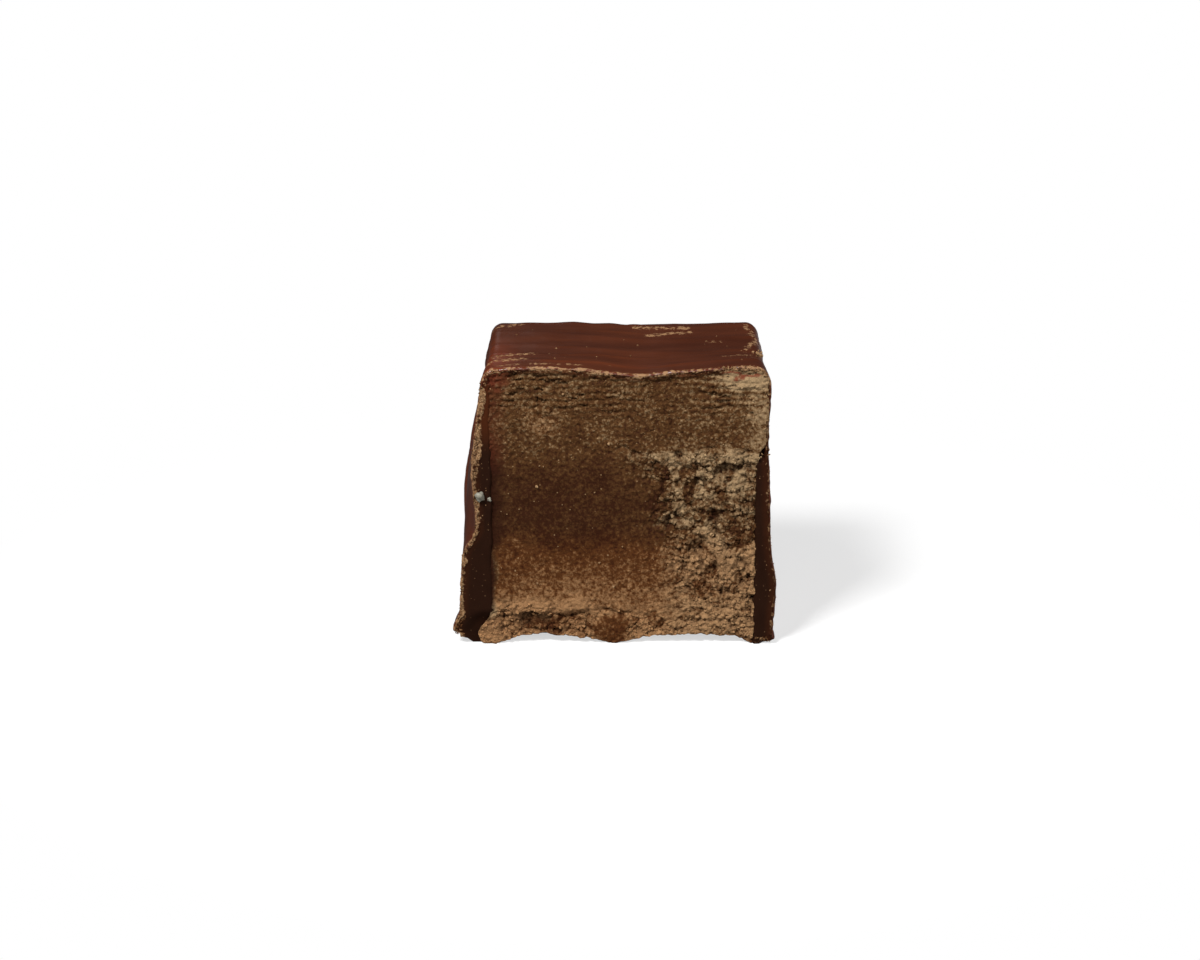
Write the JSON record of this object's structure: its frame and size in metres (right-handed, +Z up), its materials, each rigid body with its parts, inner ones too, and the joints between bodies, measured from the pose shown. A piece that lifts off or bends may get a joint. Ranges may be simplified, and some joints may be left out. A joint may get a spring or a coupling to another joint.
{
  "type": "fudge cube",
  "caption": "Dipped cube of grained fudge, cut through: a fudge block in a dark chocolate coat that is open at the cut face and underneath.",
  "frame": {"origin": "middle of the box at the base, on the surface that the piece stands on", "axes": "+Z up, -Y out of the cut face, +X to the right as seen from the cut face"},
  "size_m": [0.0324, 0.0188, 0.0289],
  "materials": {
    "dark_chocolate": "satin, as set dark chocolate",
    "grained_fudge": "matte and crumbly, as grained sugar"
  },
  "bodies": {
    "root": {"chocolate_coat": "dark_chocolate", "fudge_filling": "grained_fudge"}
  },
  "joints": []
}
